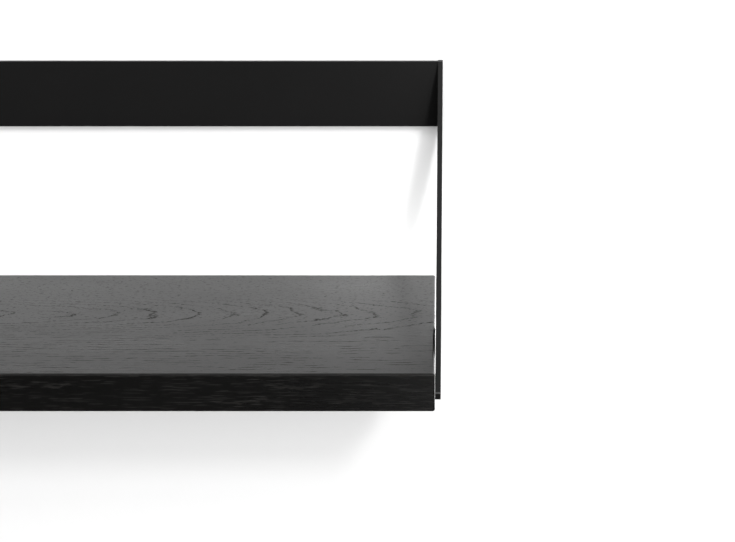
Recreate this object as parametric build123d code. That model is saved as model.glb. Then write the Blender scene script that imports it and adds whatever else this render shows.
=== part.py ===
from build123d import *

import math
import os

# Wall shelf: a thick board carried by a steel frame that hangs on a wall cleat.
# Millimetres. The wall is the plane Y = 0, the front of the shelf faces -Y and +Z is up.
# The origin is the middle of the line of wall screws: half way along the shelf, on the wall,
# at half the height of the rail.

# Whole shelf
SHELF_LENGTH = 800.0
STEEL = 4.0

# Rail, a flat bar that stands off the wall by the thickness of the two hanging strips
RAIL_HEIGHT = 54.0
RAIL_GAP = 3.4
RAIL_TOP = RAIL_HEIGHT / 2
RAIL_BOTTOM = -RAIL_HEIGHT / 2
RAIL_FRONT = RAIL_GAP + STEEL

# Board
BOARD_DEPTH = 200.0
BOARD_THICKNESS = 30.0
BOARD_LENGTH = 787.7
BOARD_DROP = 135.0
BOARD_TOP = RAIL_BOTTOM - BOARD_DROP
BOARD_BOTTOM = BOARD_TOP - BOARD_THICKNESS
BOARD_CORNER_R = 2.2
BOARD_TOP_R = 2.0
BOARD_BOTTOM_R = 1.0

# Arms: sloped flat bars, as tall as the rail where they meet it, with an upright front end
ARM_REACH = 173.0
ARM_END_HEIGHT = 5.5
ARM_BOTTOM = BOARD_BOTTOM - STEEL
ARM_SLOPE = (RAIL_TOP - ARM_BOTTOM - ARM_END_HEIGHT) / (ARM_REACH - RAIL_FRONT)
ARM_FOOT_BACK = RAIL_FRONT + (RAIL_BOTTOM - ARM_BOTTOM) / ARM_SLOPE
ARM_TOE_IN = 0.5
STEEL_EDGE_R = 0.4

# Tabs under the board
TAB_WIDTH = 30.0
TAB_CORNER_R = 6.0

# Countersunk M5 screws and the inserts that they go into
SCREW_INSET = 15.0
SCREW_SPACING = 21.0
SCREW_R = 2.45
SCREW_HEAD_R = 4.8
SCREW_LENGTH = 16.0
SCREW_HOLE_R = 2.75
SCREW_SINK = 0.2
SOCKET_ACROSS = 3.0
SOCKET_DEPTH = 2.0
INSERT_R = 4.0
INSERT_LENGTH = 12.0
INSERT_BORE_R = 2.5
INSERT_FLANGE_R = 5.0
INSERT_FLANGE = 0.8
POCKET_CLEARANCE = 0.05
POCKET_DEPTH = 18.0

# Hanging strips, both folded from the same sheet
STRIP_LENGTH = 640.0
SHEET = 1.5
LIP_PLAY = 0.15
LIP_HEIGHT = 8.0
LIP_ROOT = 4.5
FOLD_HEIGHT = 2.0
CLEAT_BASE_HEIGHT = 26.0
HOOK_BASE_HEIGHT = 10.0
WALL_HOLE_R = 2.6
WALL_HOLES_X = (-300.0, -100.0, 100.0, 300.0)


def inner_face_x(z):
    """X of the right arm's inner face at height z: the arms lean in towards the board."""
    lean = math.radians(ARM_TOE_IN)
    return SHELF_LENGTH / 2 - STEEL / math.cos(lean) - (RAIL_TOP - z) * math.tan(lean)


def mirrored(solid):
    """The same piece at the shelf's other end."""
    return mirror(solid, about=Plane.YZ)


def screw_points():
    """X and Y of the four board screws."""
    middle_y = -(ARM_FOOT_BACK + ARM_REACH) / 2
    x = inner_face_x(BOARD_BOTTOM) - SCREW_INSET
    offsets = (-SCREW_SPACING / 2, SCREW_SPACING / 2)
    return [(side * x, middle_y + offset) for side in (-1, 1) for offset in offsets]


def revolved(profile):
    """A solid of revolution about Z from (radius, height) points."""
    points = [(radius, 0, height) for radius, height in profile]
    face = make_face(Polyline(*points, close=True))
    return revolve(face, axis=Axis.Z)


def make_arm():
    """Right arm: a sloped plate, leant inwards about its outer top edge, with softened edges."""
    outline = [
        (0, RAIL_TOP),
        (-RAIL_FRONT, RAIL_TOP),
        (-ARM_REACH, ARM_BOTTOM + ARM_END_HEIGHT),
        (-ARM_REACH, ARM_BOTTOM),
        (-ARM_FOOT_BACK, ARM_BOTTOM),
        (-RAIL_FRONT, RAIL_BOTTOM),
        (0, RAIL_BOTTOM),
    ]
    face = Plane.YZ * make_face(Polyline(*outline, close=True))
    plate = extrude(face, amount=-STEEL)
    plate = fillet(plate.edges(), radius=STEEL_EDGE_R)
    leant = Pos(0, 0, RAIL_TOP) * Rot(0, ARM_TOE_IN, 0) * Pos(0, 0, -RAIL_TOP) * plate
    return Pos(SHELF_LENGTH / 2, 0, 0) * leant


def make_rail():
    """The flat bar between the arms; its ends follow their lean."""
    top_x = inner_face_x(RAIL_TOP)
    bottom_x = inner_face_x(RAIL_BOTTOM)
    outline = [
        (-top_x, RAIL_TOP),
        (top_x, RAIL_TOP),
        (bottom_x, RAIL_BOTTOM),
        (-bottom_x, RAIL_BOTTOM),
    ]
    face = Plane.XZ * make_face(Polyline(*outline, close=True))
    bar = Pos(0, -RAIL_GAP, 0) * extrude(face, amount=STEEL)
    long_edges = bar.edges().filter_by(Axis.X)
    return fillet(long_edges, radius=STEEL_EDGE_R)


def make_board():
    """The board, eased all round except along the wall, and four blind pockets for the inserts."""
    place = Pos(0, -BOARD_DEPTH / 2, BOARD_TOP - BOARD_THICKNESS / 2)
    board = place * Box(BOARD_LENGTH, BOARD_DEPTH, BOARD_THICKNESS)
    front_corners = board.edges().filter_by(Axis.Z).sort_by(Axis.Y)[:2]
    board = fillet(front_corners, radius=BOARD_CORNER_R)
    top = board.faces().sort_by(Axis.Z)[-1]
    board = fillet(top.edges().sort_by(Axis.Y)[:-1], radius=BOARD_TOP_R)
    bottom = board.faces().sort_by(Axis.Z)[0]
    board = fillet(bottom.edges().sort_by(Axis.Y)[:-1], radius=BOARD_BOTTOM_R)
    radius = INSERT_R + POCKET_CLEARANCE
    rim_radius = INSERT_FLANGE_R + POCKET_CLEARANCE
    pocket = revolved([
        (0, 0),
        (rim_radius, 0),
        (rim_radius, INSERT_FLANGE),
        (radius, INSERT_FLANGE),
        (radius, POCKET_DEPTH),
        (0, POCKET_DEPTH),
    ])
    for x, y in screw_points():
        board -= Pos(x, y, BOARD_BOTTOM) * pocket
    return board


def make_tab():
    """Right support tab: a small plate under the board, butted against the arm's inner face."""
    depth = ARM_REACH - ARM_FOOT_BACK
    outer_top = inner_face_x(BOARD_BOTTOM)
    outer_bottom = inner_face_x(ARM_BOTTOM)
    inner = outer_top - TAB_WIDTH
    section = [
        (inner, BOARD_BOTTOM),
        (outer_top, BOARD_BOTTOM),
        (outer_bottom, ARM_BOTTOM),
        (inner, ARM_BOTTOM),
    ]
    face = Plane.XZ * make_face(Polyline(*section, close=True))
    tab = Pos(0, -ARM_FOOT_BACK, 0) * extrude(face, amount=depth)
    inner_corners = tab.edges().filter_by(Axis.Z).sort_by(Axis.X)[:2]
    tab = fillet(inner_corners, radius=TAB_CORNER_R)
    sink = SCREW_HEAD_R - SCREW_HOLE_R + SCREW_SINK
    hole = revolved([
        (0, 0),
        (SCREW_HEAD_R + SCREW_SINK, 0),
        (SCREW_HOLE_R, sink),
        (SCREW_HOLE_R, STEEL),
        (0, STEEL),
    ])
    for x, y in screw_points():
        if x > 0:
            tab -= Pos(x, y, ARM_BOTTOM) * hole
    return tab


def make_screw():
    """Countersunk screw, head down, with its head's face at z = 0 and a hexagon socket."""
    cone = SCREW_HEAD_R - SCREW_R
    body = revolved([
        (0, 0),
        (SCREW_HEAD_R, 0),
        (SCREW_R, cone),
        (SCREW_R, SCREW_LENGTH),
        (0, SCREW_LENGTH),
    ])
    socket_radius = SOCKET_ACROSS / 2 / math.cos(math.radians(30))
    socket = extrude(RegularPolygon(socket_radius, 6), amount=SOCKET_DEPTH)
    return body - socket


def make_insert():
    """Flanged sleeve, flange down, with its flange's face at z = 0."""
    return revolved([
        (INSERT_BORE_R, 0),
        (INSERT_FLANGE_R, 0),
        (INSERT_FLANGE_R, INSERT_FLANGE),
        (INSERT_R, INSERT_FLANGE),
        (INSERT_R, INSERT_LENGTH),
        (INSERT_BORE_R, INSERT_LENGTH),
    ])


def make_screws():
    """The four board screws, sunk a little under the tabs' faces."""
    screw = make_screw()
    return Compound([Pos(x, y, ARM_BOTTOM + SCREW_SINK) * screw for x, y in screw_points()])


def make_inserts():
    """The four threaded inserts, flush with the board's underside."""
    insert = make_insert()
    return Compound([Pos(x, y, BOARD_BOTTOM) * insert for x, y in screw_points()])


def folded_strip(base_y, lip_y, base_far_z, base_near_z, lip_near_z, lip_far_z):
    """A strip along X: a flat base, a joggle and a flat lip. Y values are each one's back face."""
    outline = [
        (base_y, base_far_z),
        (base_y, base_near_z),
        (lip_y, lip_near_z),
        (lip_y, lip_far_z),
        (lip_y - SHEET, lip_far_z),
        (lip_y - SHEET, lip_near_z),
        (base_y - SHEET, base_near_z),
        (base_y - SHEET, base_far_z),
    ]
    face = Plane.YZ * make_face(Polyline(*outline, close=True))
    return Pos(-STRIP_LENGTH / 2, 0, 0) * extrude(face, amount=STRIP_LENGTH)


def make_cleat():
    """Wall strip: base flat on the wall, lip up and away from it, with the wall screw holes."""
    lip_back = -(SHEET + 2 * LIP_PLAY)
    base_top = LIP_ROOT - FOLD_HEIGHT
    strip = folded_strip(
        0, lip_back, base_top - CLEAT_BASE_HEIGHT, base_top, LIP_ROOT, LIP_ROOT + LIP_HEIGHT
    )
    hole = Rot(90, 0, 0) * Cylinder(WALL_HOLE_R, 4 * SHEET)
    for x in WALL_HOLES_X:
        strip -= Pos(x, 0, 0) * hole
    return strip


def make_hook():
    """Rail strip: base on the rail's back, lip down behind the cleat's lip.

    The slope between the two bears on the back edge of the cleat's lip.
    """
    base_back = -(RAIL_GAP - SHEET)
    bearing_rise = FOLD_HEIGHT * LIP_PLAY / (RAIL_GAP - SHEET - LIP_PLAY)
    lip_top = LIP_ROOT + LIP_HEIGHT - bearing_rise
    base_bottom = lip_top + FOLD_HEIGHT
    return folded_strip(
        base_back, -LIP_PLAY, base_bottom + HOOK_BASE_HEIGHT, base_bottom, lip_top, LIP_ROOT + SHEET
    )


def main():
    arm = make_arm()
    tab = make_tab()
    nodes = {
        "shelf_board": make_board(),
        "back_rail": make_rail(),
        "arm_right": arm,
        "arm_left": mirrored(arm),
        "support_tab_right": tab,
        "support_tab_left": mirrored(tab),
        "board_screws": make_screws(),
        "threaded_inserts": make_inserts(),
        "hook_strip": make_hook(),
        "wall_cleat": make_cleat(),
    }
    os.makedirs("parts", exist_ok=True)
    for name, shape in nodes.items():
        export_step(shape, f"parts/{name}.step")


main()
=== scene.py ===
import math

import bmesh
import bpy
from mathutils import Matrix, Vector


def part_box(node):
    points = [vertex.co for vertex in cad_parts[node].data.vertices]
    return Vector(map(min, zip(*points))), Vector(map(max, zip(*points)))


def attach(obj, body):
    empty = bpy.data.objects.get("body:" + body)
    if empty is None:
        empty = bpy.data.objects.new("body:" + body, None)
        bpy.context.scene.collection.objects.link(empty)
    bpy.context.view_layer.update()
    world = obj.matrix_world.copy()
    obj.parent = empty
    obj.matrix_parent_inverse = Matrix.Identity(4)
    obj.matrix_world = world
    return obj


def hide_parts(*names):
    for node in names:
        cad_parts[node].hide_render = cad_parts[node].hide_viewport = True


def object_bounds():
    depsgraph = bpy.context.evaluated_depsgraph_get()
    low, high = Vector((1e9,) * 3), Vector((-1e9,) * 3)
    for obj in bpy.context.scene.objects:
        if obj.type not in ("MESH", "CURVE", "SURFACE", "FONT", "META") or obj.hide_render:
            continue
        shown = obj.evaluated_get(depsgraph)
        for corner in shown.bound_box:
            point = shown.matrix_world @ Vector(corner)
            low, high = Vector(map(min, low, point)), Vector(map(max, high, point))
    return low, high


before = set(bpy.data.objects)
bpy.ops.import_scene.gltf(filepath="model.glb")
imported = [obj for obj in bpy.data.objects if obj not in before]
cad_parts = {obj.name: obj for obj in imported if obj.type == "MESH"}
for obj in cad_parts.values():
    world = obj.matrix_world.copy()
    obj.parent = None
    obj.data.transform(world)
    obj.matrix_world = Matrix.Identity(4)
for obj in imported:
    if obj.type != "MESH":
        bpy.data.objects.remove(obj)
cad_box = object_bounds()

MM = 0.001

# The board and the right arm, which the rest is placed by
STEEL = 4.0 * MM
BOARD_LOW, BOARD_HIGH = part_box("shelf_board")
ARM_LOW, ARM_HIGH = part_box("arm_right")
ARM_INNER = ARM_HIGH.x - STEEL

# Board edges
BOARD_CORNER_R = 2.2 * MM
BOARD_TOP_R = 2.0 * MM
BOARD_BOTTOM_R = 1.0 * MM
ARC_STEPS = 8

# Camera, in front of the right arm and above the board
CAMERA_LEFT_OF_ARM = 0.16 * MM
CAMERA_FROM_WALL = 0.95
CAMERA_ABOVE_BOARD = 0.360
CAMERA_TILT_DOWN = 20.543
CAMERA_LENS = 56.7
CAMERA_SHIFT_X = -0.0956

# Growth rings of the board: millimetres, about a pith line that rises and falls along X
RING_WIDTH = 3.5
EARLY_FADES_FROM = 0.07  # in shares of a ring, like EARLY_WOOD
PITH_Y = -88.0
PITH_BELOW_TOP = 50.0
SWELL = 31.0
SWELL_LENGTH = 250.0
SWELL_MIDDLE = 300.0
SWAY = 4.0
RIPPLE = 2.2
JITTER = 0.7

# Depths, in y, over which the grain changes from what is in front to what is behind
STRAIGHT_TO_ARCHED = (-150.0, -106.0)
LINES_TO_ARCHES = (-125.0, -100.0)
STIPPLE_GROWS = (-120.0, -90.0)
ARCHES_TO_CALM = (-72.0, -50.0)
# where the painted highlight streaks of the front edge fade out
FRONT_EDGE_ENDS = (-199.5, -197.0)

# Values in front of and behind those changes
ARCHING = (0.05, 1.0)
EARLY_WOOD = (0.3, 0.16)
CLOSED_UNDER = (0.44, 0.3)
OPEN_OVER = (0.56, 0.48)
STIPPLE = (0.3, 0.75)
CALM = (1.0, 0.12)

# Noise cells per millimetre, along, across and up the board. The odd digits keep the front edge, at
# y = -200, off the planes between the noise's cells, where the noise is weak
SWAY_CELLS = (0.004, 0.01, 0.01)
RIPPLE_CELLS = (0.03, 0.06, 0.06)
JITTER_CELLS = (0.12, 0.25, 0.25)
LONG_CELLS = (0.09, 0.95, 0.95)
SHORT_CELLS = (0.32, 0.95, 0.95)
STIPPLE_CELLS = (0.25, 1.0, 1.0)
STREAK_CELLS = (0.075, 1.8725, 1.8725)
FIBRE_CELLS = (0.03, 1.1225, 1.1225)
CLOUD_CELLS = (0.008, 0.03, 0.03)
RING_STEP = 7.31         # sets neighbouring rings apart in their noise
RING_PATCHES = 0.018

# Levels between which a noise turns from nothing to full
VESSEL_LEVELS = (0.46, 0.54)
STIPPLE_LEVELS = (0.62, 0.7)
STREAK_LEVELS = (0.66, 0.75)
MIDDLE_LEVELS = (0.3, 0.7)

# Stained oak. A relief is a depth and a strength
STAIN_DARK = (0.0018, 0.0017, 0.0016)
STAIN_PALE = (0.005, 0.0048, 0.0045)
PORE_COLOUR = (0.014, 0.013, 0.012)
# painted highlight: the pale colour of the streaks on the front edge
STREAK_SHEEN_COLOUR = (0.019, 0.0185, 0.0175)
SATIN = (0.27, 0.33)
SATIN_CLOUD = (-0.03, 0.03)
PORE_ROUGHNESS = 0.98
FIBRE_HEIGHT = 0.1
OAK_RELIEF = (0.08 * MM, 0.6)
OAK_IOR = 1.34

# Powder-coated steel. The feet's painted glint, a pale line that stands in for a highlight, is in
# millimetres
COATED = ("back_rail", "arm_left", "arm_right", "support_tab_left", "support_tab_right", "hook_strip")
COAT_DARK = (0.005, 0.0048, 0.0049)
COAT_PALE = (0.0067, 0.0064, 0.0065)
COAT_PAINTED_GLINT = (0.11, 0.11, 0.11)
COAT_ROUGHNESS = (0.6, 0.68)
COAT_CLOUD = (-0.02, 0.03)
SPECK_HEIGHT = 0.3
COAT_RELIEF = (0.03 * MM, 0.5)
COAT_IOR = 1.37
PEEL_SCALE = 0.9
SPECK_SCALE = 3.2
COAT_CLOUD_SCALE = 0.02
FOOT_CORNER_HEIGHT = 5.5
GLINT_FROM = 0.36
GLINT_TO = 0.9

# Plated and turned metal: node, material, colour and roughness of each
METALS = (
    ("board_screws", "black_zinc", (0.06, 0.06, 0.065), 0.35),
    ("threaded_inserts", "turned_brass", (0.72, 0.52, 0.22), 0.25),
    ("wall_cleat", "bright_zinc", (0.62, 0.64, 0.66), 0.3),
)
METAL_STREAKS = (0.15, 3.0, 3.0)
METAL_BRIGHTENS = 1.12
METAL_ROUGHENS = 0.1
METAL_RELIEF = (0.02 * MM, 0.4)

# Room
FLOOR_BELOW_WALL_SCREWS = 1.25
ROOM_HALF_WIDTH = 2.4
ROOM_DEPTH = 5.0
WALL_TOP = 1.6
WALL_BEHIND_SHELF = 0.1 * MM
WALL_SEEN = (0.64, 0.64, 0.64)
WALL_REFLECTED = (0.8, 0.8, 0.8)
WALL_ROUGHNESS = 0.9
WALL_SPECULAR = 0.2
WALL_RELIEF = (0.02 * MM, 0.2)
WALL_NAP_SCALE = 0.6
FLOOR_PALE = (0.76, 0.76, 0.75)
FLOOR_PALER = (0.8, 0.8, 0.79)
FLOOR_CLOUD_SCALE = 0.002
FLOOR_BOUNCED = (0.3, 0.3, 0.3)
FLOOR_REFLECTED = (0.07, 0.07, 0.07)
WORLD_SEEN = (0.9, 0.9, 0.9)
WORLD_LOW = 0.08
WORLD_HIGH = 0.75
WORLD_RISES = (-0.1, 0.7)

# Soft boxes: name, place and target in metres, width, height, power in watts
KEY_TARGET = Vector((0.25, -0.05, -0.08))
KEY_WAY = Vector((0.455, -1.0, 0.74))
KEY_DISTANCE = 4.5
KEY_SIZE = 0.45
KEY_POWER = 80.0
WASHED = (0.5, 0.0, -0.15)
WALL_WASHES = (
    ("low_wash", (0.8, -3.2, 0.1), WASHED, 2.2, 0.8, 70.0),
    ("middle_wash", (0.7, -3.0, 1.2), WASHED, 2.2, 0.9, 36.0),
    ("high_wash", (0.7, -2.2, 2.7), WASHED, 2.2, 1.4, 68.0),
)
CORNER = Vector((ARM_INNER - 0.055, 0.0, BOARD_HIGH.z))
CORNER_WASH = ("corner_wash", CORNER + Vector((0.0, -0.06, 0.01)), CORNER, 0.08, 0.016, 0.03)
SIDE_BOX = ("side_box", (1.4, -1.9, 0.4), (0.35, -0.1, -0.05), 1.3, 1.8, 7.0)
RAIL_END = (ARM_INNER - 0.03, 0.0, 0.02)
RAIL_END_CARD = ("rail_end_card", (ARM_INNER + 0.04, -0.1, 0.08), RAIL_END, 0.04, 0.04, 0.04)
LOW_CARD = ("low_card", (0.85, -2.0, -0.9), (0.35, 0.0, -0.1), 0.9, 0.5, 2.5)
BACK_BOX = ("back_box", (0.6, 2.0, -0.9), (0.0, 0.0, -0.1), 1.8, 1.0, 30.0)


# ---------------------------------------------------------------- materials

class Graph:
    """A material's node tree, built by calls that return output sockets."""

    def __init__(self, name):
        self.material = bpy.data.materials.new(name)
        self.material.use_nodes = True
        self.tree = self.material.node_tree
        self.tree.nodes.clear()

    def node(self, kind, **settings):
        node = self.tree.nodes.new(kind)
        for key, value in settings.items():
            setattr(node, key, value)
        return node

    def feed(self, socket, value):
        if isinstance(value, bpy.types.NodeSocket):
            self.tree.links.new(value, socket)
        else:
            socket.default_value = value

    def place(self):
        """The point in the row frame, in millimetres."""
        coordinates = self.node("ShaderNodeTexCoord")
        return self.scaled(coordinates.outputs["Object"], (1 / MM, 1 / MM, 1 / MM))

    def scaled(self, vector, factors):
        node = self.node("ShaderNodeVectorMath", operation="MULTIPLY")
        self.feed(node.inputs[0], vector)
        node.inputs[1].default_value = factors
        return node.outputs[0]

    def split(self, vector):
        node = self.node("ShaderNodeSeparateXYZ")
        self.feed(node.inputs[0], vector)
        return node.outputs[0], node.outputs[1], node.outputs[2]

    def joined(self, x, y, z):
        node = self.node("ShaderNodeCombineXYZ")
        for socket, value in zip(node.inputs, (x, y, z)):
            self.feed(socket, value)
        return node.outputs[0]

    def math(self, operation, first, second=0.0, third=0.0):
        node = self.node("ShaderNodeMath", operation=operation)
        for socket, value in zip(node.inputs, (first, second, third)):
            self.feed(socket, value)
        return node.outputs[0]

    def length(self, first, second):
        """The length of the vector with these two components."""
        squares = self.math("MULTIPLY_ADD", first, first, self.math("MULTIPLY", second, second))
        return self.math("SQRT", squares)

    def noise(self, vector, scale=1.0, detail=2.0, roughness=0.5):
        node = self.node("ShaderNodeTexNoise")
        self.feed(node.inputs["Vector"], vector)
        node.inputs["Scale"].default_value = scale
        node.inputs["Detail"].default_value = detail
        node.inputs["Roughness"].default_value = roughness
        return node.outputs["Fac"]

    def stepped(self, value, low, high, out_low=0.0, out_high=1.0):
        """value taken smoothly from low..high to out_low..out_high."""
        node = self.node("ShaderNodeMapRange", interpolation_type="SMOOTHSTEP")
        for socket, number in zip(node.inputs, (value, low, high, out_low, out_high)):
            self.feed(socket, number)
        return node.outputs[0]

    def ranged(self, value, low, high, out_low, out_high):
        """value taken in a straight line from low..high to out_low..out_high."""
        node = self.node("ShaderNodeMapRange")
        for socket, number in zip(node.inputs, (value, low, high, out_low, out_high)):
            self.feed(socket, number)
        return node.outputs[0]

    def swung(self, value, reach):
        """A noise taken to -reach..reach."""
        return self.ranged(value, 0.0, 1.0, -reach, reach)

    def mixed(self, factor, first, second):
        """A colour between two, each a socket or (red, green, blue)."""
        node = self.node("ShaderNodeMix", data_type="RGBA")
        self.feed(node.inputs["Factor"], factor)
        for socket, colour in zip((node.inputs[6], node.inputs[7]), (first, second)):
            self.feed(socket, (*colour, 1.0) if isinstance(colour, tuple) else colour)
        return node.outputs[2]

    def bump(self, height, depth, strength):
        node = self.node("ShaderNodeBump")
        node.inputs["Strength"].default_value = strength
        node.inputs["Distance"].default_value = depth
        self.feed(node.inputs["Height"], height)
        return node.outputs["Normal"]

    def ended(self, surface):
        """Ends the tree in this surface and gives the material."""
        output = self.node("ShaderNodeOutputMaterial")
        self.feed(output.inputs["Surface"], surface)
        return self.material

    def principled(self, **inputs):
        """Ends the tree in a Principled shader with these inputs, named with _ for spaces."""
        shader = self.node("ShaderNodeBsdfPrincipled")
        for key, value in inputs.items():
            self.feed(shader.inputs[key.replace("_", " ")], value)
        return self.ended(shader.outputs[0])


def ring_radius(g, place, arching):
    """How far a point is from the pith line, with the rings' unevenness, in millimetres."""
    x, y, z = g.split(place)
    sway = g.swung(g.noise(g.scaled(place, SWAY_CELLS), detail=0.0), SWAY)
    ripple = g.swung(g.noise(g.scaled(place, RIPPLE_CELLS)), RIPPLE)
    jitter = g.swung(g.noise(g.scaled(place, JITTER_CELLS), detail=1.0), JITTER)
    swell = g.math("SINE", g.math("DIVIDE", g.math("SUBTRACT", x, SWELL_MIDDLE), SWELL_LENGTH))
    rise = g.math("MULTIPLY", g.math("MULTIPLY", swell, SWELL), arching)
    pith_z = BOARD_HIGH.z / MM - PITH_BELOW_TOP
    up = g.math("ADD", g.math("SUBTRACT", z, pith_z), g.math("ADD", rise, sway))
    across = g.math("SUBTRACT", y, PITH_Y)
    return g.math("ADD", g.length(up, across), g.math("ADD", ripple, jitter))


def pore_rows(g, place):
    """Vessels in rows along the rings: long thin cells in the early wood of each."""
    x, y, _ = g.split(place)
    # the pith line is nearly level in front, where the grain is straight, and it swells behind, where the
    # rings run out on top as arches
    arching = g.stepped(y, *STRAIGHT_TO_ARCHED, *ARCHING)
    rings = g.math("DIVIDE", ring_radius(g, place, arching), RING_WIDTH)
    phase = g.math("FRACT", rings)
    index = g.math("FLOOR", rings)
    early_to = g.stepped(y, *LINES_TO_ARCHES, *EARLY_WOOD)
    early = g.math("SUBTRACT", 1.0, g.stepped(phase, EARLY_FADES_FROM, early_to))

    # each ring is open-grained to its own degree, patchily along its length, least at the back
    patch = g.joined(g.math("MULTIPLY", index, RING_STEP), g.math("MULTIPLY", x, RING_PATCHES), 0.0)
    closed_under = g.stepped(y, *LINES_TO_ARCHES, *CLOSED_UNDER)
    open_over = g.stepped(y, *LINES_TO_ARCHES, *OPEN_OVER)
    openness = g.stepped(g.noise(patch, detail=1.0), closed_under, open_over)
    calm = g.stepped(y, *ARCHES_TO_CALM, *CALM)

    long_cells = g.noise(g.scaled(place, LONG_CELLS), roughness=0.6)
    short_cells = g.noise(g.scaled(place, SHORT_CELLS), roughness=0.6)
    cells = g.math("MULTIPLY_ADD", g.math("SUBTRACT", short_cells, long_cells), arching, long_cells)
    vessel = g.stepped(cells, *VESSEL_LEVELS)
    return g.math("MULTIPLY", g.math("MULTIPLY", vessel, early), g.math("MULTIPLY", openness, calm))


def loose_pores(g, place):
    """Fine vessels scattered between the rows."""
    _, y, _ = g.split(place)
    cells = g.noise(g.scaled(place, STIPPLE_CELLS), detail=1.0, roughness=0.6)
    return g.math("MULTIPLY", g.stepped(cells, *STIPPLE_LEVELS), g.stepped(y, *STIPPLE_GROWS, *STIPPLE))


def front_sheen_streaks(g, place):
    """Short pale streaks, only on the board's front edge: a painted highlight where the pores there catch
    the light.
    """
    _, y, _ = g.split(place)
    cells = g.noise(g.scaled(place, STREAK_CELLS), detail=0.0)
    return g.math("MULTIPLY", g.stepped(cells, *STREAK_LEVELS), g.stepped(y, *FRONT_EDGE_ENDS, 1.0, 0.0))


def make_oak():
    """Black-stained, satin-lacquered oak, flat-sawn: growth rings about a pith line under the top."""
    g = Graph("stained_oak")
    place = g.place()
    pores = g.math("MAXIMUM", pore_rows(g, place), loose_pores(g, place))
    fibre = g.noise(g.scaled(place, FIBRE_CELLS), detail=3.0, roughness=0.7)
    cloud = g.noise(g.scaled(place, CLOUD_CELLS))
    wood = g.mixed(pores, g.mixed(fibre, STAIN_DARK, STAIN_PALE), PORE_COLOUR)
    # painted highlight: pale streaks on the front edge only, where the pores catch the light
    colour = g.mixed(front_sheen_streaks(g, place), wood, STREAK_SHEEN_COLOUR)
    fine_satin = g.ranged(fibre, *MIDDLE_LEVELS, *SATIN)
    satin = g.math("ADD", fine_satin, g.ranged(cloud, *MIDDLE_LEVELS, *SATIN_CLOUD))
    gloss = g.math("ADD", satin, g.math("MULTIPLY", pores, g.math("SUBTRACT", PORE_ROUGHNESS, satin)))
    relief = g.math("MULTIPLY_ADD", fibre, FIBRE_HEIGHT, g.math("MULTIPLY", pores, -1.0))
    normal = g.bump(relief, *OAK_RELIEF)
    return g.principled(Base_Color=colour, Roughness=gloss, IOR=OAK_IOR, Normal=normal)


def make_powder_coat():
    """Black powder coat: fine orange peel, and a painted highlight: a pale line across the arms' feet in
    front, at their corner, where a glint would fall.
    """
    g = Graph("coated_steel")
    place = g.place()
    _, y, z = g.split(place)
    peel = g.noise(place, scale=PEEL_SCALE)
    speck = g.noise(place, scale=SPECK_SCALE, detail=1.0)
    cloud = g.noise(place, scale=COAT_CLOUD_SCALE)
    behind = g.math("SUBTRACT", y, ARM_LOW.y / MM)
    above = g.math("SUBTRACT", z, ARM_LOW.z / MM + FOOT_CORNER_HEIGHT)
    # painted highlight: pale coat in a band round the feet's front corner, standing in for a glint of the
    # lamps
    painted_glint = g.stepped(g.length(behind, above), GLINT_FROM, GLINT_TO, 1.0, 0.0)
    colour = g.mixed(painted_glint, g.mixed(cloud, COAT_DARK, COAT_PALE), COAT_PAINTED_GLINT)
    speckled = g.ranged(speck, *MIDDLE_LEVELS, *COAT_ROUGHNESS)
    gloss = g.math("ADD", speckled, g.ranged(cloud, *MIDDLE_LEVELS, *COAT_CLOUD))
    relief = g.math("MULTIPLY_ADD", speck, SPECK_HEIGHT, peel)
    normal = g.bump(relief, *COAT_RELIEF)
    return g.principled(Base_Color=colour, Roughness=gloss, IOR=COAT_IOR, Normal=normal)


def make_metal(name, base, roughness):
    """Plated or turned metal with faint streaks along X."""
    g = Graph(name)
    streak = g.noise(g.scaled(g.place(), METAL_STREAKS), detail=3.0)
    bright = tuple(min(1.0, channel * METAL_BRIGHTENS) for channel in base)
    colour = g.mixed(streak, base, bright)
    gloss = g.ranged(streak, *MIDDLE_LEVELS, roughness, roughness + METAL_ROUGHENS)
    normal = g.bump(streak, *METAL_RELIEF)
    return g.principled(Base_Color=colour, Metallic=1.0, Roughness=gloss, Normal=normal)


# ---------------------------------------------------------------- pieces

def board_outline(low, high, inset, radius):
    """Points and outward normals in plan, from one end of the wall edge round the front to the other."""
    points = [(Vector((low.x + inset, high.y, 0)), Vector((-1, 0, 0)))]
    for centre_x, start in ((low.x + inset + radius, 180), (high.x - inset - radius, 270)):
        centre = Vector((centre_x, low.y + inset + radius, 0))
        for step in range(ARC_STEPS + 1):
            angle = math.radians(start + 90 * step / ARC_STEPS)
            direction = Vector((math.cos(angle), math.sin(angle), 0))
            points.append((centre + direction * radius, direction))
    points.append((Vector((high.x - inset, high.y, 0)), Vector((1, 0, 0))))
    return points


def board_profile(low, high):
    """(height, inset, outward share, upward share) up the board's edge, arcs at both ends."""
    rows = []
    for step in range(ARC_STEPS + 1):
        angle = math.radians(-90 + 90 * step / ARC_STEPS)
        out, up = math.cos(angle), math.sin(angle)
        rows.append((low.z + BOARD_BOTTOM_R * (1 + up), BOARD_BOTTOM_R * (1 - out), out, up))
    for step in range(ARC_STEPS + 1):
        angle = math.radians(90 * step / ARC_STEPS)
        out, up = math.cos(angle), math.sin(angle)
        rows.append((high.z - BOARD_TOP_R * (1 - up), BOARD_TOP_R * (1 - out), out, up))
    return rows


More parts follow.
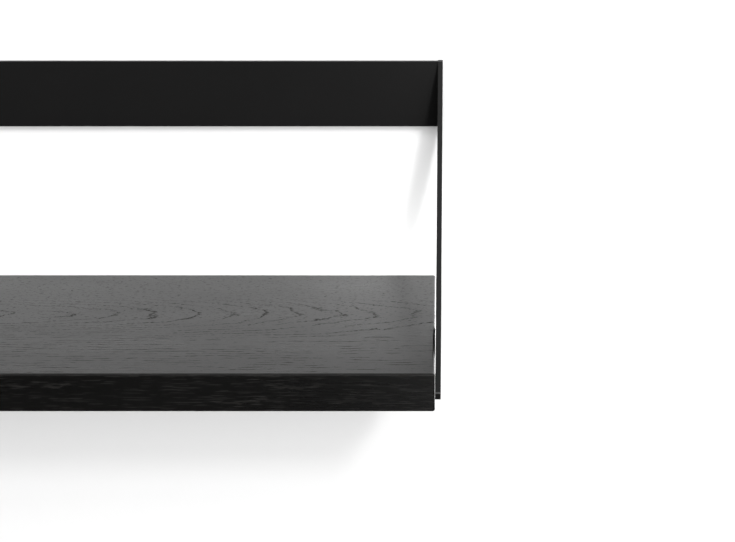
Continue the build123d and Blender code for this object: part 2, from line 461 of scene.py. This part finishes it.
def make_board(material):
    """The board as one closed skin, rounded along its front and ends and square along the wall."""
    mesh = bpy.data.meshes.new("oak_board")
    bm = bmesh.new()
    rings = []
    normals = []
    for height, inset, out, up in board_profile(BOARD_LOW, BOARD_HIGH):
        ring = []
        for point, direction in board_outline(BOARD_LOW, BOARD_HIGH, inset, BOARD_CORNER_R - inset):
            ring.append(bm.verts.new((point.x, point.y, height)))
            normals.append((direction.x * out, direction.y * out, up))
        rings.append(ring)
    for below, above in zip(rings, rings[1:]):
        for i in range(len(below) - 1):
            bm.faces.new((below[i], below[i + 1], above[i + 1], above[i]))
    bm.faces.new(reversed(rings[0]))
    bm.faces.new(rings[-1])
    # the wall face has corners of its own, so that its normals stay square to it
    rim = [ring[-1] for ring in rings] + [ring[0] for ring in reversed(rings)]
    back = bm.faces.new([bm.verts.new(vert.co) for vert in rim])
    normals += [(0, 1, 0)] * len(back.verts)
    bm.to_mesh(mesh)
    bm.free()
    mesh.shade_smooth()
    mesh.normals_split_custom_set_from_vertices(normals)
    mesh.materials.append(material)
    board = bpy.data.objects.new("oak_board", mesh)
    bpy.context.scene.collection.objects.link(board)
    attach(board, "root")
    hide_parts("shelf_board")


def dress(node, material):
    """Gives a CAD node its material."""
    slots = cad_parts[node].data.materials
    slots.clear()
    slots.append(material)


def make_pieces():
    make_board(make_oak())
    coat = make_powder_coat()
    for node in COATED:
        dress(node, coat)
    for node, name, colour, roughness in METALS:
        dress(node, make_metal(name, colour, roughness))


# ---------------------------------------------------------------- stage

def flat_panel(name, corners, material):
    mesh = bpy.data.meshes.new(name)
    mesh.from_pydata(corners, [], [tuple(range(len(corners)))])
    mesh.materials.append(material)
    panel = bpy.data.objects.new(name, mesh)
    bpy.context.scene.collection.objects.link(panel)


def make_wall_paint():
    """Matt white paint on the room side, a little dimmer to look at than the light it sends back.

    Seen from behind, the wall isn't there.
    """
    g = Graph("wall_paint")
    path = g.node("ShaderNodeLightPath")
    paint = g.node("ShaderNodeBsdfPrincipled")
    g.feed(paint.inputs["Base Color"], g.mixed(path.outputs["Is Camera Ray"], WALL_REFLECTED, WALL_SEEN))
    g.feed(paint.inputs["Roughness"], WALL_ROUGHNESS)
    g.feed(paint.inputs["Specular IOR Level"], WALL_SPECULAR)
    g.feed(paint.inputs["Normal"], g.bump(g.noise(g.place(), scale=WALL_NAP_SCALE), *WALL_RELIEF))
    clear = g.node("ShaderNodeBsdfTransparent")
    facing = g.node("ShaderNodeNewGeometry")
    mix = g.node("ShaderNodeMixShader")
    g.feed(mix.inputs[0], facing.outputs["Backfacing"])
    g.feed(mix.inputs[1], paint.outputs[0])
    g.feed(mix.inputs[2], clear.outputs[0])
    return g.ended(mix.outputs[0])


def make_floor_paint():
    """Pale matt floor to look at; what it sends back to the shelf is dimmer."""
    g = Graph("floor_paint")
    path = g.node("ShaderNodeLightPath")
    pale = g.mixed(g.noise(g.place(), scale=FLOOR_CLOUD_SCALE), FLOOR_PALE, FLOOR_PALER)
    bounced = g.mixed(path.outputs["Is Glossy Ray"], FLOOR_BOUNCED, FLOOR_REFLECTED)
    paint = g.node("ShaderNodeBsdfDiffuse")
    g.feed(paint.inputs["Color"], g.mixed(path.outputs["Is Camera Ray"], bounced, pale))
    return g.ended(paint.outputs[0])


def make_room():
    floor_z = -FLOOR_BELOW_WALL_SCREWS
    side = ROOM_HALF_WIDTH
    wall_y = cad_box[1][1] + WALL_BEHIND_SHELF
    wall = [
        (-side, wall_y, floor_z), (side, wall_y, floor_z),
        (side, wall_y, WALL_TOP), (-side, wall_y, WALL_TOP),
    ]
    floor = [
        (-ROOM_DEPTH, -ROOM_DEPTH, floor_z), (ROOM_DEPTH, -ROOM_DEPTH, floor_z),
        (ROOM_DEPTH, ROOM_DEPTH, floor_z), (-ROOM_DEPTH, ROOM_DEPTH, floor_z),
    ]
    flat_panel("wall", wall, make_wall_paint())
    flat_panel("floor", floor, make_floor_paint())


def make_world():
    """Pale surroundings to look at. What lights and is reflected is a soft overhead, dark below."""
    world = bpy.data.worlds.new("studio")
    bpy.context.scene.world = world
    world.use_nodes = True
    tree = world.node_tree
    tree.nodes.clear()
    direction = tree.nodes.new("ShaderNodeTexCoord")
    axes = tree.nodes.new("ShaderNodeSeparateXYZ")
    tree.links.new(direction.outputs["Generated"], axes.inputs[0])
    upward = tree.nodes.new("ShaderNodeMapRange")
    upward.interpolation_type = "SMOOTHSTEP"
    tree.links.new(axes.outputs["Z"], upward.inputs["Value"])
    limits = ("From Min", "From Max", "To Min", "To Max")
    for name, value in zip(limits, (*WORLD_RISES, WORLD_LOW, WORLD_HIGH)):
        upward.inputs[name].default_value = value
    seen = tree.nodes.new("ShaderNodeBackground")
    seen.inputs["Color"].default_value = (*WORLD_SEEN, 1)
    lit = tree.nodes.new("ShaderNodeBackground")
    lit.inputs["Color"].default_value = (1, 1, 1, 1)
    tree.links.new(upward.outputs[0], lit.inputs["Strength"])
    path = tree.nodes.new("ShaderNodeLightPath")
    mix = tree.nodes.new("ShaderNodeMixShader")
    output = tree.nodes.new("ShaderNodeOutputWorld")
    tree.links.new(path.outputs["Is Camera Ray"], mix.inputs[0])
    tree.links.new(lit.outputs[0], mix.inputs[1])
    tree.links.new(seen.outputs[0], mix.inputs[2])
    tree.links.new(mix.outputs[0], output.inputs["Surface"])


def make_area(name, place, target, width, height, power):
    """A soft box at place, facing target."""
    light = bpy.data.lights.new(name, "AREA")
    light.shape = "RECTANGLE"
    light.size = width
    light.size_y = height
    light.energy = power
    lamp = bpy.data.objects.new(name, light)
    bpy.context.scene.collection.objects.link(lamp)
    lamp.location = place
    lamp.rotation_euler = (Vector(target) - Vector(place)).to_track_quat("-Z", "Y").to_euler()
    lamp.visible_camera = False
    return lamp


def only_lights(lamp, names):
    """Limits a lamp to the named objects. Everything else still casts its shadow on them."""
    receivers = bpy.data.collections.new("lit_by_" + lamp.name)
    for name in names:
        receivers.objects.link(bpy.data.objects[name])
    lamp.light_linking.receiver_collection = receivers


def shines_through(lamp, names):
    """Lets a lamp through the named objects."""
    blockers = bpy.data.collections.new("clear_to_" + lamp.name)
    for name in names:
        blockers.objects.link(bpy.data.objects[name])
    lamp.light_linking.blocker_collection = blockers
    for entry in blockers.collection_objects:
        entry.light_linking.link_state = "EXCLUDE"


def make_lights():
    """A key from high on the right, washes for wall and floor alone, and fills for what the key misses."""
    key_place = KEY_TARGET + KEY_WAY.normalized() * KEY_DISTANCE
    make_area("key_box", key_place, KEY_TARGET, KEY_SIZE, KEY_SIZE, KEY_POWER)
    for wash in (*WALL_WASHES, CORNER_WASH):
        only_lights(make_area(*wash), ["wall", "floor"])
    only_lights(make_area(*SIDE_BOX), ["oak_board"])
    only_lights(make_area(*RAIL_END_CARD), ["back_rail"])
    make_area(*LOW_CARD)
    shines_through(make_area(*BACK_BOX), ["wall"])


def make_camera():
    data = bpy.data.cameras.new("camera")
    data.lens = CAMERA_LENS
    data.shift_x = CAMERA_SHIFT_X
    camera = bpy.data.objects.new("camera", data)
    bpy.context.scene.collection.objects.link(camera)
    camera.location = (
        ARM_INNER - CAMERA_LEFT_OF_ARM,
        -CAMERA_FROM_WALL,
        BOARD_HIGH.z + CAMERA_ABOVE_BOARD,
    )
    camera.rotation_euler = (math.radians(90 - CAMERA_TILT_DOWN), 0, 0)
    bpy.context.scene.camera = camera


bpy.context.scene.view_settings.view_transform = "Standard"
make_camera()
make_pieces()
make_room()
make_world()
make_lights()
